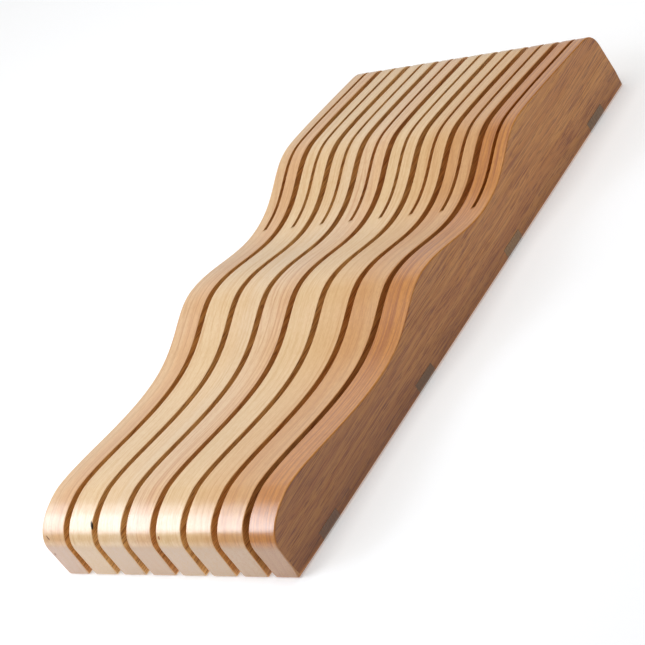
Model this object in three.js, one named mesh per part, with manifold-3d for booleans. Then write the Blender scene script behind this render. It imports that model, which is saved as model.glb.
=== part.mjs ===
// An in-drawer knife organiser: eight wave-topped wooden slats stand side by side on four cross
// rails. The gaps between the slats and the saw kerfs in their rear halves hold the knife blades.
//
// Millimetres. +X runs across the slats, +Y from the low nose to the tall rear end, +Z is up.
// The origin is under the middle of the block, on the surface it rests on.

import * as THREE from 'three';
import { mergeVertices } from 'three/addons/utils/BufferGeometryUtils.js';
import Module from 'manifold-3d';

const wasm = await Module();
wasm.setup();

// Driving dimensions.
const SLAT_COUNT = 8;
const SLAT_THICKNESS = 21.8;
const SLOT_WIDTH = 5.2;
const LENGTH = 440;
const KERF_WIDTH = 2.8;
const KERF_FRONT = 59;
const KERF_FLOOR = 12;
const RAIL_WIDTH = 20;
const RAIL_HEIGHT = 7.5;
const RAIL_CENTRES = [-181, -60, 60, 181];
const GLUE_GAP = 0.3;
const CURVE_STEPS = 10;

const PITCH = SLAT_THICKNESS + SLOT_WIDTH;
const WIDTH = SLAT_COUNT * SLAT_THICKNESS + (SLAT_COUNT - 1) * SLOT_WIDTH;
const FRONT = -LENGTH / 2;
const REAR = LENGTH / 2;

// The wave: its crests and valleys are level there, and each has the length of the curve's handle
// on either side, so a longer handle makes a broader crest or valley.
const NOSE_STRAIGHT = 23;
const NOSE_HANDLE = 17;
const WAVE = [
  { name: 'nose crest', y: -186.5, z: 44.2, before: 6.5, after: 25 },
  { name: 'front valley', y: -87, z: 33, before: 34.5, after: 39.5 },
  { name: 'middle crest', y: -14, z: 50.7, before: 22.5, after: 23.5 },
  { name: 'rear valley', y: 56, z: 38, before: 24, after: 33 },
  { name: 'rear crest', y: 124, z: 56.6, before: 24, after: 14.5 },
];
const TAIL = { y: 208, z: 47.2, slope: 0.13, before: 25 };
const TAIL_CORNER = 12;
const FOOT_CORNER = 2;

const WOOD = [
  { slat: 'slat_1', colour: 0xd9ae86 },
  { slat: 'slat_2', colour: 0xe6c48e },
  { slat: 'slat_3', colour: 0xe8cfa4 },
  { slat: 'slat_4', colour: 0xdfbf9c },
  { slat: 'slat_5', colour: 0xe9cfa0 },
  { slat: 'slat_6', colour: 0xe6c890 },
  { slat: 'slat_7', colour: 0xd9a674 },
  { slat: 'slat_8', colour: 0xc08a5c },
];
const RAIL_COLOUR = 0x7d5a3c;

// A slat seen from the side, drawn with the shape's x as the block's +Y and its y as +Z. The
// outline runs from the front foot over the wave to the rear foot and back through the rail
// notches.
function slatOutline() {
  const outline = new THREE.Shape();
  outline.moveTo(FRONT + FOOT_CORNER, 0);
  outline.quadraticCurveTo(FRONT, 0, FRONT, FOOT_CORNER);
  outline.lineTo(FRONT, NOSE_STRAIGHT);
  const nose = WAVE[0];
  outline.bezierCurveTo(
    FRONT, NOSE_STRAIGHT + NOSE_HANDLE,
    nose.y - nose.before, nose.z,
    nose.y, nose.z,
  );
  for (let i = 1; i < WAVE.length; i += 1) {
    const from = WAVE[i - 1];
    const to = WAVE[i];
    outline.bezierCurveTo(
      from.y + from.after, from.z,
      to.y - to.before, to.z,
      to.y, to.z,
    );
  }
  const crest = WAVE[WAVE.length - 1];
  outline.bezierCurveTo(
    crest.y + crest.after, crest.z,
    TAIL.y - TAIL.before, TAIL.z + TAIL.slope * TAIL.before,
    TAIL.y, TAIL.z,
  );
  const cornerTop = TAIL.z - TAIL.slope * (REAR - TAIL.y);
  outline.quadraticCurveTo(REAR, cornerTop, REAR, cornerTop - TAIL_CORNER);
  outline.lineTo(REAR, FOOT_CORNER);
  outline.quadraticCurveTo(REAR, 0, REAR - FOOT_CORNER, 0);
  const half = RAIL_WIDTH / 2 + GLUE_GAP;
  for (const centre of [...RAIL_CENTRES].reverse()) {
    outline.lineTo(centre + half, 0);
    outline.lineTo(centre + half, RAIL_HEIGHT + GLUE_GAP);
    outline.lineTo(centre - half, RAIL_HEIGHT + GLUE_GAP);
    outline.lineTo(centre - half, 0);
  }
  return outline;
}

// An extrusion along the shape's +Z becomes one along +X: shape x to +Y, shape y to +Z.
function standUp(geometry, thickness) {
  geometry.translate(0, 0, -thickness / 2);
  geometry.rotateY(Math.PI / 2);
  geometry.rotateX(Math.PI / 2);
  return geometry;
}

function toSolid(geometry) {
  const bare = geometry.clone();
  bare.deleteAttribute('normal');
  bare.deleteAttribute('uv');
  const merged = mergeVertices(bare, 1e-4);
  return new wasm.Manifold(new wasm.Mesh({
    numProp: 3,
    vertProperties: new Float32Array(merged.attributes.position.array),
    triVerts: new Uint32Array(merged.index.array),
  }));
}

function toGeometry(solid) {
  const mesh = solid.getMesh();
  const geometry = new THREE.BufferGeometry();
  geometry.setAttribute('position', new THREE.BufferAttribute(new Float32Array(mesh.vertProperties), 3));
  geometry.setIndex(new THREE.BufferAttribute(new Uint32Array(mesh.triVerts), 1));
  geometry.computeVertexNormals();
  return geometry;
}

// Every slat is the same: the waved board with a narrow saw kerf down its middle, from just
// past the rear valley out through the rear end.
function slatGeometry() {
  const board = standUp(
    new THREE.ExtrudeGeometry(slatOutline(), {
      depth: SLAT_THICKNESS, bevelEnabled: false, curveSegments: CURVE_STEPS,
    }),
    SLAT_THICKNESS,
  );
  const pastRear = 10;
  const kerfLength = REAR + pastRear - KERF_FRONT;
  const kerfHeight = LENGTH / 4;
  const kerf = new THREE.BoxGeometry(KERF_WIDTH, kerfLength, kerfHeight);
  kerf.translate(0, KERF_FRONT + kerfLength / 2, KERF_FLOOR + kerfHeight / 2);
  return toGeometry(toSolid(board).subtract(toSolid(kerf)));
}

function woodMaterial(colour) {
  return new THREE.MeshStandardMaterial({ color: colour, roughness: 0.4, metalness: 0 });
}

const group = new THREE.Group();

const slatShape = slatGeometry();
WOOD.forEach(({ slat, colour }, i) => {
  const mesh = new THREE.Mesh(slatShape, woodMaterial(colour));
  mesh.name = slat;
  mesh.position.x = (i - (SLAT_COUNT - 1) / 2) * PITCH;
  group.add(mesh);
});

// The rails lie in notches across the undersides of the slats, flush with them below and flush
// with the outer slats at both ends.
const railShape = new THREE.BoxGeometry(WIDTH, RAIL_WIDTH, RAIL_HEIGHT);
RAIL_CENTRES.forEach((centre, i) => {
  const rail = new THREE.Mesh(railShape, woodMaterial(RAIL_COLOUR));
  rail.name = `cross_rail_${i + 1}`;
  rail.position.set(0, centre, RAIL_HEIGHT / 2);
  group.add(rail);
});

export default group;
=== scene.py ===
import math
from collections import namedtuple

import bpy
from mathutils import Matrix, Quaternion, Vector


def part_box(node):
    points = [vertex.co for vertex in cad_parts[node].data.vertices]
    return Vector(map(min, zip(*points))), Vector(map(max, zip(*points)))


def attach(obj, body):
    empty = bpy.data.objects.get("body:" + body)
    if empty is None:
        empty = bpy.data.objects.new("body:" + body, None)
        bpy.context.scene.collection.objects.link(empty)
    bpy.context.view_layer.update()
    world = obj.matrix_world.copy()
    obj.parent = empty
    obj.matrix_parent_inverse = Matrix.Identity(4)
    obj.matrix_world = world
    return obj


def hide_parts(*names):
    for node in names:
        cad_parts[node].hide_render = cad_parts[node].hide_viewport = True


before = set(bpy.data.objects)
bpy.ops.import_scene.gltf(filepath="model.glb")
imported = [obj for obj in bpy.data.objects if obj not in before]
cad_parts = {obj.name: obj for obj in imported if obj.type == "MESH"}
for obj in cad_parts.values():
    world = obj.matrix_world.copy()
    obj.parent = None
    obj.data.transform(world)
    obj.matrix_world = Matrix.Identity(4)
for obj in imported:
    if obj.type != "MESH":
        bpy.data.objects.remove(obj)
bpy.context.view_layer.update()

# ---------------------------------------------------------------------------------------------
# Camera: a long lens, well back from the block's front right corner and above it. It is rolled by
# 36 degrees, so that the slats run from corner to corner.
# ---------------------------------------------------------------------------------------------
AZIMUTH = math.radians(52.964)
ELEVATION = math.radians(27.785)
ROLL = math.radians(-35.917)
CAMERA_PLACE = Vector((1.2637, -0.9728, 0.8535))
LENS_MM = 156.05
SENSOR_MM = 36.0

camera_data = bpy.data.cameras.new("studio_camera")
camera_data.lens = LENS_MM
camera_data.sensor_width = SENSOR_MM
camera_data.clip_start = 0.05
camera = bpy.data.objects.new("studio_camera", camera_data)
bpy.context.scene.collection.objects.link(camera)

backward = Vector((
    math.sin(AZIMUTH) * math.cos(ELEVATION),
    -math.cos(AZIMUTH) * math.cos(ELEVATION),
    math.sin(ELEVATION),
))
level_right = Vector((0, 0, 1)).cross(backward).normalized()
level_up = backward.cross(level_right)
right = level_right * math.cos(ROLL) + level_up * math.sin(ROLL)
up = level_up * math.cos(ROLL) - level_right * math.sin(ROLL)
turn = Matrix((right, up, backward)).transposed()
camera.matrix_world = Matrix.Translation(CAMERA_PLACE) @ turn.to_4x4()
bpy.context.scene.camera = camera

# ---------------------------------------------------------------------------------------------
# The slats: eight equal boards of pale hardwood on edge. Their tops were shaped together to one
# wave, and each was sawn down the middle from behind. The slot edges are eased with abrasive, and
# the outer and lower edges are rounded over with a cutter.
# ---------------------------------------------------------------------------------------------
MM = 0.001

slat_low, slat_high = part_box("slat_1")
FRONT = slat_low.y
REAR = slat_high.y
THICKNESS = slat_high.x - slat_low.x

NOSE_STRAIGHT = 23 * MM
NOSE_HANDLE = 17 * MM
# Each crest and valley: its place along the slat, its height, and how far the curve's handles
# reach before and after it.
WAVE = [
    (-186.5 * MM, 44.2 * MM, 6.5 * MM, 25 * MM),
    (-87 * MM, 33 * MM, 34.5 * MM, 39.5 * MM),
    (-14 * MM, 50.7 * MM, 22.5 * MM, 23.5 * MM),
    (56 * MM, 38 * MM, 24 * MM, 33 * MM),
    (124 * MM, 56.6 * MM, 24 * MM, 14.5 * MM),
]
TAIL_PLACE = 208 * MM
TAIL_HEIGHT = 47.2 * MM
TAIL_SLOPE = 0.13
TAIL_HANDLE = 25 * MM
# The rear's upper corner, and how far its curve's handles reach towards the tip.
TAIL_CORNER = 12 * MM
TAIL_PULL = 2 / 3
FOOT_CORNER = 1.2 * MM
KERF_WIDTH = 2.8 * MM
KERF_FRONT = 59 * MM
KERF_FLOOR = 12 * MM

SLOT_EASE = 0.6 * MM
KERF_EASE = 0.35 * MM
BLOCK_LEFT_ROUND = 2.0 * MM
BLOCK_RIGHT_ROUND = 0.9 * MM
# All edges are rounded over more towards the foot, and the block's own left and right edges most.
LEFT_FOOT_ROUND = 2.2 * MM
RIGHT_FOOT_ROUND = 0.9 * MM
BLOCK_LEFT_FOOT_ROUND = 4.4 * MM
BLOCK_RIGHT_FOOT_ROUND = 2.6 * MM
# The left edges' rounds are down to their upper size at the top of the nose's straight front, and
# the right ones' at this share of that height.
RIGHT_FOOT_SHARE = 0.35
# At the front the underside's rounds reach further up, by this share, which fades away rearwards.
FRONT_FOOT_RISE = 0.8
FRONT_FOOT_LENGTH = 20 * MM
# An edge's level of wearing and of painted highlight. Above a half, the edge is painted paler:
# a painted highlight where the eased slot edges catch the light. Below it, only the lacquer thins.
SLOT_WEAR_AND_HIGHLIGHT = 1.0
OUTER_WEAR_AND_HIGHLIGHT = 0.5
ROUND_STEPS = 6
# A corner's handles reach this share of the way to its tip to draw a quarter of a circle.
CIRCLE_PULL = 0.5523
# Points of a slat that agree to this many parts of a metre are one point.
WELD_GRID = 1e7

# The rails' notches, a hair wider than the rails.
RAIL_NAMES = [f"cross_rail_{i}" for i in range(1, 5)]
GLUE_LINE = 0.1 * MM
rail_boxes = [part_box(name) for name in RAIL_NAMES]


def bezier(start, first, second, end, steps):
    """Points along one cubic curve, without its start."""
    corners = (start, first, second, end)
    points = []
    for i in range(1, steps + 1):
        t = i / steps
        s = 1 - t
        weights = (s ** 3, 3 * s * s * t, 3 * s * t * t, t ** 3)
        points.append(tuple(sum(w * c[axis] for w, c in zip(weights, corners)) for axis in (0, 1)))
    return points


def round_corner(start, tip, end, steps, pull):
    """Points from start round to end, without the start. The curve's handles reach towards the
    tip by the share pull of the way there."""
    first = tuple(a + (b - a) * pull for a, b in zip(start, tip))
    second = tuple(c + (b - c) * pull for b, c in zip(tip, end))
    return bezier(start, first, second, end, steps)


def top_outline():
    """The slat's edge seen from the side, as (y, z): up the front, over the wave, down the rear."""
    wave_steps = 26
    straight_steps = 6
    tail_steps = 10
    points = [(FRONT, FOOT_CORNER)]
    for i in range(1, straight_steps + 1):
        points.append((FRONT, FOOT_CORNER + (NOSE_STRAIGHT - FOOT_CORNER) * i / straight_steps))
    place, height, before, _ = WAVE[0]
    nose_tip = (FRONT, NOSE_STRAIGHT + NOSE_HANDLE)
    points += bezier(points[-1], nose_tip, (place - before, height), (place, height), wave_steps)
    for here, there in zip(WAVE, WAVE[1:]):
        points += bezier(
            here[:2],
            (here[0] + here[3], here[1]),
            (there[0] - there[2], there[1]),
            there[:2],
            wave_steps,
        )
    place, height, _, after = WAVE[-1]
    tail_handle = (TAIL_PLACE - TAIL_HANDLE, TAIL_HEIGHT + TAIL_SLOPE * TAIL_HANDLE)
    tail = (TAIL_PLACE, TAIL_HEIGHT)
    points += bezier((place, height), (place + after, height), tail_handle, tail, wave_steps)
    tip = (REAR, TAIL_HEIGHT - TAIL_SLOPE * (REAR - TAIL_PLACE))
    points += round_corner(tail, tip, (REAR, tip[1] - TAIL_CORNER), tail_steps, TAIL_PULL)
    points += [(REAR, KERF_FLOOR), (REAR, FOOT_CORNER)]
    # One more point where the kerf begins.
    for i in range(1, len(points)):
        (y0, z0), (y1, z1) = points[i - 1], points[i]
        if y0 < KERF_FRONT < y1:
            share = (KERF_FRONT - y0) / (y1 - y0)
            points.insert(i, (KERF_FRONT, z0 + (z1 - z0) * share))
            break
    return points


def foot_outline():
    """The rest of the loop, from the rear foot along the underside to the front foot, as (y, z,
    whether the surface runs smoothly through the point). Only the notches' roofs don't."""
    steps = 5
    points = round_corner(
        (REAR, FOOT_CORNER), (REAR, 0), (REAR - FOOT_CORNER, 0), steps, CIRCLE_PULL)
    points = [(y, z, True) for y, z in points]
    for low, high in reversed(rail_boxes):
        near = low.y - GLUE_LINE
        far = high.y + GLUE_LINE
        roof = high.z + GLUE_LINE
        points += [(far, 0, True), (far, roof, False), (near, roof, False), (near, 0, True)]
    points.append((FRONT + FOOT_CORNER, 0, True))
    front_foot = round_corner(
        (FRONT + FOOT_CORNER, 0), (FRONT, 0), (FRONT, FOOT_CORNER), steps, CIRCLE_PULL)
    points += [(y, z, True) for y, z in front_foot[:-1]]
    return points


# One point of a slat's outline: where it is, which way is into the wood, how far its left and
# right edges are rounded over, whether the kerf cuts it, and whether the surface is smooth there.
Row = namedtuple("Row", "y z inward left right cut smooth")


def slat_rows(left_round, right_round, left_foot, right_foot):
    """The rows round a slat's outline, from the sizes of its edges' rounds above and at the foot."""
    top = top_outline()
    foot = foot_outline()
    loop = top + [(y, z) for y, z, _ in foot]
    rows = []
    for i, (y, z) in enumerate(loop):
        smooth = i < len(top) or foot[i - len(top)][2]
        if smooth and (i < len(top) or z > 0):
            before = loop[i - 1]
            after = loop[(i + 1) % len(loop)]
            along = Vector((after[0] - before[0], after[1] - before[1])).normalized()
            inward = (along.y, -along.x)
        else:
            inward = (0.0, 1.0)
        share = max(0.0, (z - FOOT_CORNER) / (NOSE_STRAIGHT - FOOT_CORNER))
        left_share = min(1.0, share)
        right_share = min(1.0, share / RIGHT_FOOT_SHARE)
        left_edge = left_foot + (left_round - left_foot) * left_share if smooth else 0.0
        right_edge = right_foot + (right_round - right_foot) * right_share if smooth else 0.0
        cut = i < len(top) and y >= KERF_FRONT and z >= KERF_FLOOR
        rows.append(Row(y, z, inward, left_edge, right_edge, cut, smooth))
    return rows


def slat_mesh(name, centre, left_round, right_round, left_foot, right_foot):
    """A slat as one closed skin, with an attribute for the wearing and the painted highlight on its
    eased and rounded edges.
    """
    rows = slat_rows(left_round, right_round, left_foot, right_foot)
    half = THICKNESS / 2
    kerf = KERF_WIDTH / 2
    quarter = [math.pi / 2 * i / ROUND_STEPS for i in range(ROUND_STEPS + 1)]
    # Slot edges get the higher level, which also paints a pale highlight along the middle of their
    # ease.
    left_wear_and_highlight = SLOT_WEAR_AND_HIGHLIGHT if left_round == SLOT_EASE else OUTER_WEAR_AND_HIGHLIGHT
    right_wear_and_highlight = SLOT_WEAR_AND_HIGHLIGHT if right_round == SLOT_EASE else OUTER_WEAR_AND_HIGHLIGHT
    places = []
    eased = []
    known = {}
    faces = []
    normals = []

    def put(x, y, z, wear_and_highlight=0.0):
        key = (round(x * WELD_GRID), round(y * WELD_GRID), round(z * WELD_GRID))
        if key not in known:
            known[key] = len(places)
            places.append((x, y, z))
            eased.append(wear_and_highlight)
        return known[key]

    def face(corners, corner_normals=None):
        kept = [i for i, corner in enumerate(corners) if corner != corners[i - 1]]
        if len(kept) < 3:
            return
        faces.append([corners[i] for i in kept])
        if corner_normals:
            normals.extend(corner_normals[i] for i in kept)
        else:
            normals.extend([(0.0, 0.0, 0.0)] * len(kept))

    def sweep(row, side, base, radius, wear_and_highlight, angles):
        """Points and normals of one rounded edge. Its wall stands at base, and side is the way out
        of it. Near the front, the rear and the underside, the round runs into theirs."""
        y, z, inward = row.y, row.z, row.inward
        y_in = min(max(y + inward[0] * radius, FRONT + radius), REAR - radius)
        near_front = max(0.0, 1 - (y - FRONT) / FRONT_FOOT_LENGTH)
        z_in = max(z + inward[1] * radius, radius * (1 + FRONT_FOOT_RISE * near_front))
        line = []
        for a in angles:
            x = base - side * radius * (1 - math.cos(a))
            depth = 1 - math.sin(a)
            point = put(centre + x, y + (y_in - y) * depth, z + (z_in - z) * depth,
                        wear_and_highlight * math.sin(2 * a))
            normal = (side * math.cos(a), -inward[0] * math.sin(a), -inward[1] * math.sin(a))
            line.append((point, normal))
        return line

    grid = []
    flat = [math.pi / 2] * len(quarter)
    for row in rows:
        ease = KERF_EASE if row.cut else 0.0
        line = sweep(row, -1, -half, row.left, left_wear_and_highlight, quarter)
        line += sweep(row, 1, -kerf, ease, SLOT_WEAR_AND_HIGHLIGHT, quarter[::-1] if row.cut else flat)
        line += sweep(row, -1, kerf, ease, SLOT_WEAR_AND_HIGHLIGHT, quarter if row.cut else flat)
        line += sweep(row, 1, half, row.right, right_wear_and_highlight, quarter[::-1])
        grid.append(line)

    # The skin between the rows. The strip over the kerf is left open.
    middle = 2 * len(quarter) - 1
    for i, line in enumerate(grid):
        after = grid[(i + 1) % len(grid)]
        here = rows[i]
        there = rows[(i + 1) % len(grid)]
        for c in range(len(line) - 1):
            if here.cut and there.cut and c == middle:
                continue
            corners = (line[c], line[c + 1], after[c + 1], after[c])
            smooth = here.smooth and there.smooth
            face(
                [point for point, _ in corners],
                [normal for _, normal in corners] if smooth else None,
            )
    face([line[0][0] for line in grid])
    face([line[-1][0] for line in reversed(grid)])

    # The kerf: its two walls, its front end and its floor.
    cut_lines = [line for line, row in zip(grid, rows) if row.cut]
    floor_left = put(centre - kerf, KERF_FRONT, KERF_FLOOR)
    floor_right = put(centre + kerf, KERF_FRONT, KERF_FLOOR)
    left_wall = [line[middle][0] for line in cut_lines]
    right_wall = [line[middle + 1][0] for line in cut_lines]
    face(left_wall[::-1] + [floor_left])
    face(right_wall + [floor_right])
    face((floor_left, floor_right, right_wall[0], left_wall[0])[::-1])
    face((floor_left, left_wall[-1], right_wall[-1], floor_right)[::-1])

    mesh = bpy.data.meshes.new(name)
    mesh.from_pydata(places, [], faces)
    mesh.attributes.new("eased", "FLOAT", "POINT").data.foreach_set("value", eased)
    mesh.normals_split_custom_set([
        normal if any(normal) else mesh.polygons[number].normal
        for number, polygon in enumerate(mesh.polygons)
        for normal in normals[polygon.loop_start:polygon.loop_start + polygon.loop_total]
    ])
    return mesh


def add_piece(name, mesh, node, material):
    """Puts a finished mesh in place of its CAD node."""
    mesh.materials.append(material)
    piece = bpy.data.objects.new(name, mesh)
    bpy.context.scene.collection.objects.link(piece)
    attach(piece, "root")
    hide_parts(node)


def linear(hex_colour):
    """An sRGB colour, such as d9b27c, as the linear colour that a shader takes."""
    channels = [int(hex_colour[i:i + 2], 16) / 255 for i in (0, 2, 4)]
    return [c / 12.92 if c <= 0.04045 else ((c + 0.055) / 1.055) ** 2.4 for c in channels] + [1.0]


def add_node(tree, kind, inputs=(), **settings):
    """Adds a shader node and gives back its outputs. The inputs are keyed by the name or number
    of their socket, or are in the sockets' order. Another node's output is linked."""
    node = tree.nodes.new(f"ShaderNode{kind}")
    for name, value in settings.items():
        setattr(node, name, value)
    for socket, value in inputs.items() if isinstance(inputs, dict) else enumerate(inputs):
        if isinstance(value, bpy.types.NodeSocket):
            tree.links.new(value, node.inputs[socket])
        else:
            node.inputs[socket].default_value = value
    return node.outputs


# Lacquered hardwood, planed and sanded along the grain: straight fibres, faint growth rings and
# orange streaks, and short dark pores. Satin lacquer gives it a clear coat, smoother than the wood,
# which shows as a broad soft highlight. Lengths in the wood are in millimetres.
LACQUER_IOR = 1.6
LACQUER_ROUGHNESS = 0.23
WOOD_IOR = 1.5
# The wood's roughness on its closed and on its open fibres, and how much an eased edge adds.
CLOSED_ROUGHNESS = 0.36
OPEN_ROUGHNESS = 0.52
EASED_ROUGHNESS = 0.08
PORE_DEPTH = 0.04 * MM
# The share of the lacquer that stays on sawn faces and on eased edges.
SAWN_LACQUER = 0.25
EASED_LACQUER = 0.1
# Eased slot edges get this share of a painted highlight: the top's left tone, made paler by
# this factor.
EDGE_HIGHLIGHT_SHARE = 0.8
EDGE_HIGHLIGHT_GAIN = 1.22
# Each board is cut from its own part of one endless grain, this far from the last one.
BOARD_STEP = (37.0, 53.0, 71.0)
# The grain leans from the board's length by up to these angles.
GRAIN_RISE = math.radians(0.8)
GRAIN_SWING = math.radians(0.6)
# It wanders by up to this much to each side, over these lengths.
WANDER = 3
WANDER_SIZE = (45, 130, 45)
# The growth rings' pith is far to one side, up to this angle higher or lower than the board, and
# isn't quite parallel to it.
PITH_DISTANCE = 110
PITH_ANGLE = math.radians(12)
PITH_LEAN = math.radians(1.2)
# The scale at which a wave texture's rings are 1 apart.
WAVE_TEXTURE_SCALE = 0.31416
# A top's two tones meet within this distance of its middle, and their seam wanders this far.
SEAM_BLUR = 5
SEAM_WANDER = 22.0
# The edges of flaws are shaken by up to this much.
FLAW_SHAKE = 0.7
# The patterns' sizes across the grain, along it and upwards, then their detail and roughness. Real
# pores are 0.1 mm wide and 2 mm long. Here the pores, and the dots that they make on end grain,
# are drawn wider and longer, to be seen at all.
GRAIN_PATTERNS = {
    "tone": ((9, 190, 60), 2.0, 0.5),
    "streak": ((2.2, 260, 40), 3.0, 0.62),
    "fibre": ((0.9, 45, 6), 3.0, 0.7),
    "mottle": ((1.6, 4, 1.6), 2.0, 0.6),
    "pores": ((0.55, 9, 0.55), 0.0, 0.5),
    "side_streak": ((2.4, 200, 2.4), 3.0, 0.6),
    "side_fibre": ((0.7, 45, 0.7), 3.0, 0.7),
    "dots": ((0.9, 4, 0.9), 1.0, 0.7),
}


def hardwood(name, seed, centre, left_tone, right_tone, streak_tone, side_tone, end_tone,
             ring_depth, streak_depth, side_fade, ring_spacing=6.5, flaws=(), crosswise=False):
    """A material for one piece of wood. Its tones are sRGB colours, its depths and side_fade are
    shares from 0 to 1. A flaw is its place, its half-sizes, its turn and its tone. The grain runs
    along Y, or along X if it is crosswise."""
    material = bpy.data.materials.new(name)
    material.use_nodes = True
    tree = material.node_tree
    tree.nodes.clear()

    def stained(colour, layers):
        """The colour with tones laid over it. A layer is its pattern, where in the pattern its
        tone begins and is full, its greatest share, the tone, and how it is laid. A colour Mix has
        its factor in socket 0, its two colours in 6 and 7, and its result in 2."""
        for pattern, start, full, share, tone, how in layers:
            amount = add_node(
                tree, "MapRange", (pattern, start, full, 0.0, share),
                interpolation_type="SMOOTHSTEP",
            )[0]
            colour = add_node(
                tree, "Mix", {0: amount, 6: colour, 7: linear(tone)},
                data_type="RGBA", blend_type=how,
            )[2]
        return colour

    # Places in millimetres, and how far the surface faces each way. The grain runs along the
    # second of the three axes. A broad side begins 37 degrees from facing straight across the
    # grain, and end grain at a slope of 70 degrees.
    order = (1, 0, 2) if crosswise else (0, 1, 2)
    coordinates = add_node(tree, "TexCoord")
    axes = add_node(tree, "SeparateXYZ", (coordinates["Object"],))
    place = add_node(tree, "CombineXYZ", [axes[i] for i in order])[0]
    place = add_node(tree, "VectorMath", {0: place, 3: 1 / MM}, operation="SCALE")[0]
    across, along, height = add_node(tree, "SeparateXYZ", (place,))
    left_facing = add_node(tree, "SeparateXYZ", (coordinates["Normal"],))[0]
    facing = add_node(tree, "VectorMath", (coordinates["Normal"],), operation="ABSOLUTE")[0]
    facing = add_node(tree, "SeparateXYZ", (facing,))
    on_side = add_node(
        tree, "MapRange", (facing[order[0]], 0.8, 0.98), interpolation_type="SMOOTHSTEP")[0]
    on_end = add_node(
        tree, "MapRange", (facing[2], 0.34, 0.06), interpolation_type="SMOOTHSTEP")[0]

    # The grain leans a little from the board's length, and wanders. Each board has its own.
    lean = (GRAIN_RISE * math.sin(seed * 2.1), 0.0, GRAIN_SWING * math.cos(seed * 1.3))
    own = [seed * step for step in BOARD_STEP]
    grain = add_node(
        tree, "Mapping", {"Vector": place, "Rotation": lean, "Location": own},
        vector_type="POINT",
    )[0]
    wander = add_node(tree, "VectorMath", (grain, WANDER_SIZE), operation="DIVIDE")[0]
    wander = add_node(tree, "TexNoise", {"Vector": wander, "Scale": 1.0, "Detail": 1.0})[1]
    wander = add_node(
        tree, "VectorMath",
        (wander, (2 * WANDER, 0, 2 * WANDER), (-WANDER, 0, -WANDER)),
        operation="MULTIPLY_ADD",
    )[0]
    grain = add_node(tree, "VectorMath", (grain, wander), operation="ADD")[0]

    drawn = {}
    for pattern, (size, detail, roughness) in GRAIN_PATTERNS.items():
        scaled = add_node(tree, "VectorMath", (grain, size), operation="DIVIDE")[0]
        drawn[pattern] = add_node(
            tree, "TexNoise",
            {"Vector": scaled, "Scale": 1.0, "Detail": detail, "Roughness": roughness},
        )[0]

    # Growth rings round the pith. From so far, they stand nearly upright in the board.
    pith_angle = PITH_ANGLE * math.sin(seed * 3.7)
    pith = (
        -centre / MM - own[0] + PITH_DISTANCE * math.cos(pith_angle),
        -own[1],
        PITH_DISTANCE * math.sin(pith_angle) - own[2],
    )
    from_pith = add_node(tree, "VectorMath", (grain, pith), operation="ADD")[0]
    from_pith = add_node(
        tree, "Mapping",
        {"Vector": from_pith, "Rotation": (PITH_LEAN * math.sin(seed), 0.0, 0.0)},
        vector_type="POINT",
    )[0]
    rings = add_node(
        tree, "TexWave",
        {"Vector": from_pith, "Scale": WAVE_TEXTURE_SCALE / ring_spacing,
         "Distortion": 1.2, "Detail": 2.0, "Detail Scale": 0.15},
        wave_type="RINGS", rings_direction="Y", wave_profile="SAW",
    )[1]

    # The tops: two tones that meet raggedly in the middle, then streaks, rings and fibres.
    ragged = add_node(
        tree, "Math", (drawn["tone"], SEAM_WANDER, across), operation="MULTIPLY_ADD")[0]
    middle = centre / MM + SEAM_WANDER / 2
    top_colour = stained(linear(left_tone), [
        (ragged, middle - SEAM_BLUR, middle + SEAM_BLUR, 1.0, right_tone, "MIX"),
        (drawn["streak"], 0.50, 0.66, 1.35 * streak_depth, streak_tone, "MIX"),
        (rings, 0.55, 1.0, ring_depth, streak_tone, "MIX"),
        (drawn["fibre"], 0.45, 0.72, 0.4, streak_tone, "MIX"),
        (drawn["mottle"], 0.60, 0.35, 0.22, streak_tone, "MIX"),
    ])
    # The broad sides have fine dark lines, and a left one takes its top's tone. A right one has the
    # side tone, which on the slot walls is brighter and more saturated than the top's: painted
    # bounce light, standing in for the warm light thrown between the slats. Side_fade darkens them
    # towards the front and the foot.
    side_colour = stained(linear(side_tone), [
        (left_facing, -0.5, -0.9, 0.8, left_tone, "MIX"),
        (drawn["side_streak"], 0.40, 0.62, 0.5, "d8b490", "MULTIPLY"),
        (drawn["side_fibre"], 0.47, 0.64, 0.65, "a87850", "MULTIPLY"),
        (drawn["pores"], 0.62, 0.70, 0.45, "9a6844", "MULTIPLY"),
        (along, 150.0, -200.0, side_fade, "d4cabe", "MULTIPLY"),
        (height, 22.0, 0.0, side_fade, "ded4c8", "MULTIPLY"),
    ])
    # End grain shows the pores as dots, and the rings as arcs.
    end_colour = stained(linear(end_tone), [
        (drawn["dots"], 0.45, 0.75, 0.4, streak_tone, "MIX"),
        (rings, 0.4, 1.0, 0.5 * ring_depth, streak_tone, "MIX"),
    ])
    colour = add_node(tree, "Mix", {0: on_end, 6: top_colour, 7: end_colour}, data_type="RGBA")[2]
    colour = add_node(tree, "Mix", {0: on_side, 6: colour, 7: side_colour}, data_type="RGBA")[2]

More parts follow.
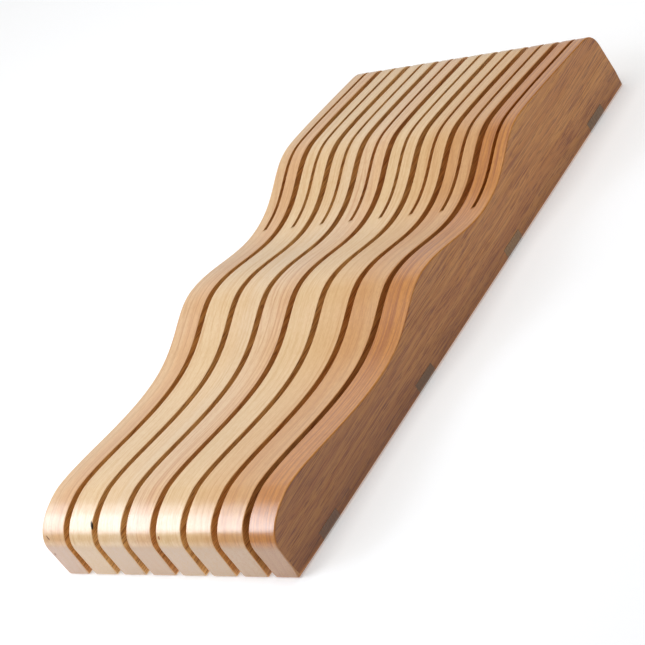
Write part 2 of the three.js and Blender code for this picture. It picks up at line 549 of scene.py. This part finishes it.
    # Eased slot edges are painted paler, a painted highlight where they catch the light. Eased
    # edges and the sawn faces hold less lacquer.
    eased = add_node(tree, "Attribute", attribute_name="eased")["Fac"]
    painted_edge_highlight = add_node(tree, "MapRange", (eased, OUTER_WEAR_AND_HIGHLIGHT, SLOT_WEAR_AND_HIGHLIGHT, 0.0, EDGE_HIGHLIGHT_SHARE))[0]
    edge_highlight_colour = [min(1.0, EDGE_HIGHLIGHT_GAIN * channel) for channel in linear(left_tone)]
    colour = add_node(tree, "Mix", {0: painted_edge_highlight, 6: colour, 7: edge_highlight_colour}, data_type="RGBA")[2]
    sawn = facing[0] if crosswise else on_side
    lacquer = add_node(tree, "MapRange", (sawn, 0.0, 1.0, 1.0, SAWN_LACQUER))[0]
    kept = add_node(tree, "MapRange", (eased, 0.0, 0.4 * OUTER_WEAR_AND_HIGHLIGHT, 1.0, EASED_LACQUER))[0]
    lacquer = add_node(tree, "Math", (lacquer, kept), operation="MULTIPLY")[0]

    # Flaws are ragged, and hold no lacquer.
    shake = add_node(tree, "TexNoise", {"Vector": place, "Scale": 1.0, "Detail": 1.0})[1]
    shaken = add_node(
        tree, "VectorMath", (shake, [FLAW_SHAKE] * 3, place), operation="MULTIPLY_ADD")[0]
    for spot, half_size, turn, flaw_tone in flaws:
        local = add_node(
            tree, "Mapping",
            {"Vector": shaken, "Location": [c + FLAW_SHAKE / 2 for c in spot],
             "Rotation": turn, "Scale": half_size},
            vector_type="TEXTURE",
        )[0]
        far = add_node(tree, "VectorMath", (local,), operation="LENGTH")["Value"]
        colour = stained(colour, [(far, 1.15, 0.8, 0.97, flaw_tone, "MIX")])
        sound = add_node(
            tree, "MapRange", (far, 0.8, 1.15), interpolation_type="SMOOTHSTEP")[0]
        lacquer = add_node(tree, "Math", (lacquer, sound), operation="MULTIPLY")[0]

    rough = add_node(
        tree, "MapRange",
        (drawn["fibre"], 0.3, 0.7, CLOSED_ROUGHNESS, OPEN_ROUGHNESS),
        interpolation_type="SMOOTHSTEP",
    )[0]
    rough = add_node(tree, "Math", (eased, EASED_ROUGHNESS, rough), operation="MULTIPLY_ADD")[0]
    sunk = add_node(
        tree, "MapRange", (drawn["pores"], 0.6, 0.7), interpolation_type="SMOOTHSTEP")[0]
    relief = add_node(tree, "Math", (drawn["fibre"], sunk), operation="SUBTRACT")[0]
    bump = add_node(
        tree, "Bump", {"Strength": 0.35, "Distance": PORE_DEPTH, "Height": relief})[0]
    shader = add_node(
        tree, "BsdfPrincipled",
        {"Base Color": colour, "Roughness": rough, "IOR": WOOD_IOR, "Normal": bump,
         "Coat Weight": lacquer, "Coat Roughness": LACQUER_ROUGHNESS, "Coat IOR": LACQUER_IOR},
    )[0]
    add_node(tree, "OutputMaterial", {"Surface": shader})
    return material


# Each slat's kind of wood, then its tones: left half, right half, streaks, sides and end
# grain. Then how strong its rings and its streaks are, and how much its sides darken.
# On slats 1 to 7 the side tone is brighter and more saturated than the top's, as painted bounce
# light on the slot walls.
SLAT_WOODS = [
    ("warm_slat", "e2ba89", "e1b27e", "c48a58", "eeb468", "caa383", 0.30, 0.45, 0.0),
    ("pale_slat", "e9c898", "e9c796", "cf9a5e", "f6c67c", "d8b488", 0.20, 0.40, 0.0),
    ("pale_slat", "e9c697", "e9c99e", "d0a064", "f6c67c", "ceab88", 0.16, 0.30, 0.0),
    ("pink_slat", "e8c496", "e7bd8b", "c98e60", "eaae68", "cba57f", 0.28, 0.55, 0.0),
    ("pale_slat", "e8c593", "ebc796", "cf9c5c", "f6c67c", "d0ad8a", 0.16, 0.30, 0.0),
    ("pale_slat", "e4ba82", "e4b881", "c98e4c", "eeb468", "cba780", 0.20, 0.35, 0.0),
    ("warm_slat", "d89f60", "ddaa70", "b87840", "eab066", "c9a37b", 0.28, 0.40, 0.0),
    ("brown_slat", "d18a3d", "d28c3e", "9c5626", "d49042", "ba8756", 0.36, 0.50, 1.0),
]
# Cracks, a speck and a small knot, by the number of their slat.
FLAWS = {
    1: [((-99.2, -217.6, 30.9), (0.35, 2.4, 0.9), (0.703, 0, 1.063), "6a300e"),
        ((-100.9, -220.0, 18.7), (0.7, 0.9, 0.9), (0, 0, 0), "7a4a40")],
    2: [((-56.6, -212.5, 36.6), (0.9, 4.0, 1.8), (0.607, 0, 0.468), "0c0603")],
    5: [((5.1, -217.5, 31.2), (0.8, 1.1, 1.3), (0, 0, 0), "a05a24")],
}
for number, (slot, *tones_and_depths) in enumerate(SLAT_WOODS, start=1):
    node = f"slat_{number}"
    low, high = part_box(node)
    centre = (low.x + high.x) / 2
    leftmost = number == 1
    rightmost = number == len(SLAT_WOODS)
    mesh = slat_mesh(
        f"{node}_board", centre,
        BLOCK_LEFT_ROUND if leftmost else SLOT_EASE,
        BLOCK_RIGHT_ROUND if rightmost else SLOT_EASE,
        BLOCK_LEFT_FOOT_ROUND if leftmost else LEFT_FOOT_ROUND,
        BLOCK_RIGHT_FOOT_ROUND if rightmost else RIGHT_FOOT_ROUND,
    )
    wood = hardwood(
        f"lacquered_hardwood_{number}", float(number), centre, *tones_and_depths,
        flaws=FLAWS.get(number, ()),
    )
    add_piece(f"{node}_board", mesh, node, wood)

# ---------------------------------------------------------------------------------------------
# The cross rails: four flat strips of darker hardwood that hold the slats at their spacing. They
# are glued into notches under the slats, and their ends are sanded flush with the outer slats.
# The sawn end grain drinks in the lacquer, so it looks dark and dull.
# ---------------------------------------------------------------------------------------------
RAIL_TONE = "9a6c44"
RAIL_STREAK_TONE = "4d2c14"
# The tone of each rail's end grain.
RAIL_END_TONES = ["785236", "74502e", "9a7448", "866644"]
RAIL_RING_SPACING = 2.6
RAIL_EDGE = 0.3 * MM
# Edges sharper than this stay sharp when the rail is shaded.
RAIL_SHARP_ANGLE = math.radians(40)
# The rails' grain is cut from far beyond the slats'.
FIRST_RAIL_SEED = 20.0
for index, (name, (low, high)) in enumerate(zip(RAIL_NAMES, rail_boxes)):
    corners = [
        (low.x, low.z, BLOCK_LEFT_FOOT_ROUND),
        (high.x, low.z, BLOCK_RIGHT_FOOT_ROUND),
        (high.x, high.z, RAIL_EDGE),
        (low.x, high.z, RAIL_EDGE),
    ]
    outline = []
    for i, (x, z, radius) in enumerate(corners):
        before = corners[i - 1]
        after = corners[(i + 1) % len(corners)]
        ends = []
        for next_x, next_z, _ in (before, after):
            step_x = max(-radius, min(radius, next_x - x))
            step_z = max(-radius, min(radius, next_z - z))
            ends.append((x + step_x, z + step_z))
        outline.append(ends[0])
        outline += round_corner(ends[0], (x, z), ends[1], ROUND_STEPS, CIRCLE_PULL)
    count = len(outline)
    near = [(x, low.y, z) for x, z in outline]
    far = [(x, high.y, z) for x, z in outline]
    faces = [(i, (i + 1) % count, count + (i + 1) % count, count + i) for i in range(count)]
    faces += [tuple(range(count))[::-1], tuple(range(count, 2 * count))]
    mesh = bpy.data.meshes.new(f"{name}_strip")
    mesh.from_pydata(near + far, [], [face[::-1] for face in faces])
    mesh.shade_smooth()
    mesh.set_sharp_from_angle(angle=RAIL_SHARP_ANGLE)
    wood = hardwood(
        f"dark_hardwood_{index + 1}", FIRST_RAIL_SEED + index, (low.y + high.y) / 2,
        RAIL_TONE, RAIL_TONE, RAIL_STREAK_TONE, RAIL_TONE, RAIL_END_TONES[index],
        ring_depth=0.4, streak_depth=0.5, side_fade=0.0,
        ring_spacing=RAIL_RING_SPACING, crosswise=True,
    )
    add_piece(f"{name}_strip", mesh, name, wood)

# ---------------------------------------------------------------------------------------------
# Studio: a plain white table, dim white surroundings, and six soft boxes: one overhead, three to
# the front left, whose two cool strips make the nose's highlight, and two to the rear left, which
# the crests reflect. None of it is part of the object.
# ---------------------------------------------------------------------------------------------
# The table is this much below the block, so that the two don't share a plane.
TABLE_GAP = 0.2 * MM
floor_mesh = bpy.data.meshes.new("studio_floor")
reach = 20.0
floor_mesh.from_pydata(
    [(-reach, -reach, 0), (reach, -reach, 0), (reach, reach, 0), (-reach, reach, 0)],
    [], [(0, 1, 2, 3)],
)
floor = bpy.data.objects.new("studio_floor", floor_mesh)
floor.location.z = -TABLE_GAP
bpy.context.scene.collection.objects.link(floor)
paper = bpy.data.materials.new("matt_white_paper")
paper.use_nodes = True
paper_shader = paper.node_tree.nodes["Principled BSDF"]
paper_shader.inputs["Base Color"].default_value = (0.74, 0.74, 0.74, 1)
paper_shader.inputs["Roughness"].default_value = 0.9
paper_shader.inputs["Specular IOR Level"].default_value = 0.1
paper_shader.inputs["Emission Color"].default_value = (1, 1, 1, 1)
paper_shader.inputs["Emission Strength"].default_value = 0.34
floor_mesh.materials.append(paper)

world = bpy.data.worlds.new("studio_surroundings")
world.use_nodes = True
surroundings = world.node_tree.nodes["Background"]
surroundings.inputs["Color"].default_value = (1, 1, 1, 1)
surroundings.inputs["Strength"].default_value = 0.17
bpy.context.scene.world = world


def soft_box(name, place, target, width, height, radiance, roll=0.0, colour=(1, 1, 1)):
    """A rectangular soft box at a place, turned to a target and then rolled about its own axis.
    A diffuse box of this radiance gives off pi times it from each square metre."""
    light = bpy.data.lights.new(name, "AREA")
    light.shape = "RECTANGLE"
    light.size = width
    light.size_y = height
    light.energy = radiance * math.pi * width * height
    light.color = colour
    box = bpy.data.objects.new(name, light)
    box.location = place
    aim = (Vector(target) - Vector(place)).to_track_quat("-Z", "Y")
    box.rotation_euler = (aim @ Quaternion((0, 0, 1), roll)).to_euler()
    bpy.context.scene.collection.objects.link(box)


COOL = (0.80, 0.87, 1.0)
BLOCK = (0, 0, 0.03)
NOSE = (0, -0.21, 0.036)
soft_box("overhead", (0, 0, 2.2), BLOCK, 1.6, 1.6, 3.70)
soft_box("left_front", (-1.1, -1.1, 1.556), BLOCK, 0.9, 0.9, 2.85)
soft_box("left_strip_core", (-0.60, -0.463, 0.517), NOSE, 0.42, 0.32, 6.2, -0.42, COOL)
soft_box("left_strip_end", (-0.60, -0.20, 0.583), NOSE, 0.20, 0.32, 3.4, 0.0, COOL)
soft_box("rear_left_low", (-1.5, 1.1, 0.45), BLOCK, 2.2, 0.6, 0.433)
soft_box("rear_left_high", (-1.5, 1.1, 1.1), BLOCK, 2.2, 0.7, 0.512)

bpy.context.scene.view_settings.view_transform = "Standard"
